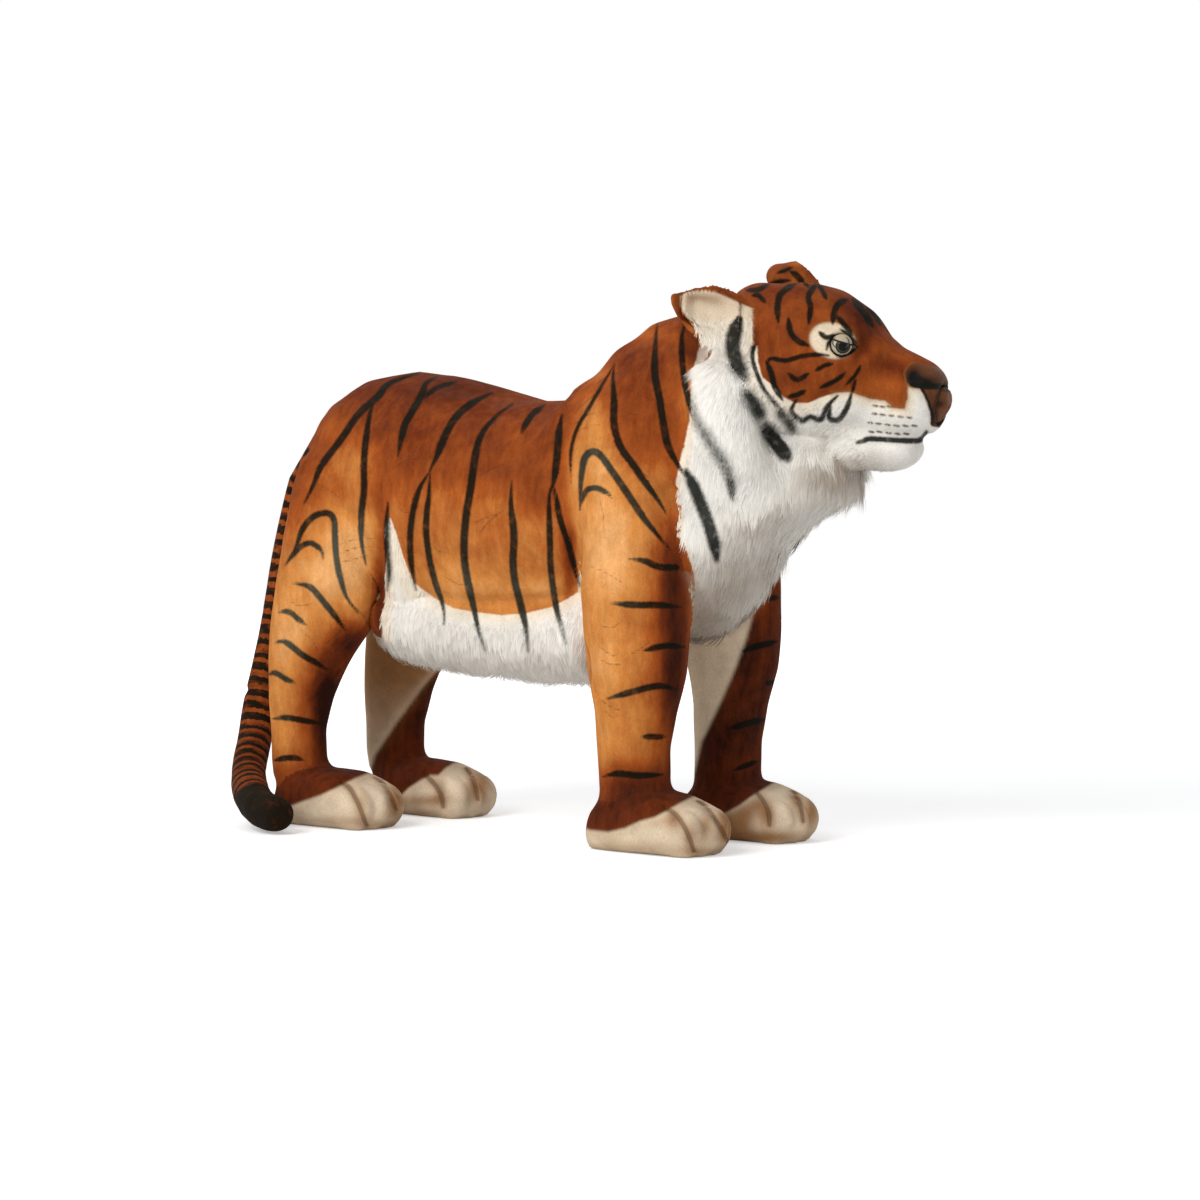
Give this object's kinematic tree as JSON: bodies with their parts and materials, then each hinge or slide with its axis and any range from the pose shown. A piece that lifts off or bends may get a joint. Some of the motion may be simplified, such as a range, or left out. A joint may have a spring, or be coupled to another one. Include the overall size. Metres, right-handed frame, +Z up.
{
  "type": "standing plush tiger",
  "caption": "Large standing plush tiger: stuffed striped body on a steel inner frame, long pale chest and belly fur, turned head, folding ears and a hanging tail that lifts and curls.",
  "frame": {"origin": "centre of the bottom of the bounding box, on the floor under the toy", "axes": "+X to the tiger's front, +Y to its left, +Z up"},
  "size_m": [1.0088, 0.4044, 0.7189],
  "materials": {
    "orange_plush": "short pile plush",
    "white_pile": "long pile fur fabric",
    "cream_plush": "short pile plush",
    "black_plush": "short pile plush",
    "brown_leather": "satin",
    "eye_gloss": "gloss",
    "frame_steel": "plain tube"
  },
  "bodies": {
    "plush_body": {"torso": "orange_plush", "neck": "orange_plush", "head": "orange_plush", "muzzle": "orange_plush", "chin": "white_pile", "nose": "brown_leather", "eye_left": "eye_gloss", "eye_right": "eye_gloss", "cheek_tuft_left": "white_pile", "cheek_tuft_right": "white_pile", "chest_ruff": "white_pile", "belly_fur": "white_pile", "front_leg_left": "orange_plush", "front_leg_right": "orange_plush", "hind_leg_left": "orange_plush", "hind_leg_right": "orange_plush", "front_paw_left": "cream_plush", "front_paw_right": "cream_plush", "hind_paw_left": "cream_plush", "hind_paw_right": "cream_plush", "front_cross_tube": "frame_steel", "rear_cross_tube": "frame_steel", "spine_bar": "frame_steel", "neck_bar": "frame_steel", "front_leg_rod_left": "frame_steel", "front_leg_rod_right": "frame_steel", "hind_leg_rod_left": "frame_steel", "hind_leg_rod_right": "frame_steel", "front_foot_plate_left": "frame_steel", "front_foot_plate_right": "frame_steel", "hind_foot_plate_left": "frame_steel", "hind_foot_plate_right": "frame_steel"},
    "tail": {"tail": "orange_plush"},
    "tail_end": {"tail_end": "orange_plush", "tail_tip": "black_plush"},
    "ear_left": {"ear_left": "orange_plush", "ear_lining_left": "cream_plush"},
    "ear_right": {"ear_right": "orange_plush", "ear_lining_right": "cream_plush"}
  },
  "joints": [
    {"name": "tail_lift", "type": "hinge", "parent": "plush_body", "child": "tail", "pos_m": [-0.41785, 0.04524, 0.515], "axis": [-0.436, 0.9, 0], "range_deg": [0, 74]},
    {"name": "tail_curl", "type": "hinge", "parent": "tail", "child": "tail_end", "pos_m": [-0.48025, -0.02451, 0.15501], "axis": [-0.9539, 0.3, 0], "range_deg": [0, 51]},
    {"name": "ear_left_fold", "type": "hinge", "parent": "plush_body", "child": "ear_left", "pos_m": [0.27139, 0.14936, 0.62745], "axis": [-0.9158, 0.0357, -0.4], "range_deg": [-20, 40], "stiffness_Nm_per_rad": 0.4},
    {"name": "ear_right_fold", "type": "hinge", "parent": "plush_body", "child": "ear_right", "pos_m": [0.31429, -0.03649, 0.62745], "axis": [-0.2047, 0.4167, 0.8857], "range_deg": [-10, 49], "stiffness_Nm_per_rad": 0.4}
  ]
}
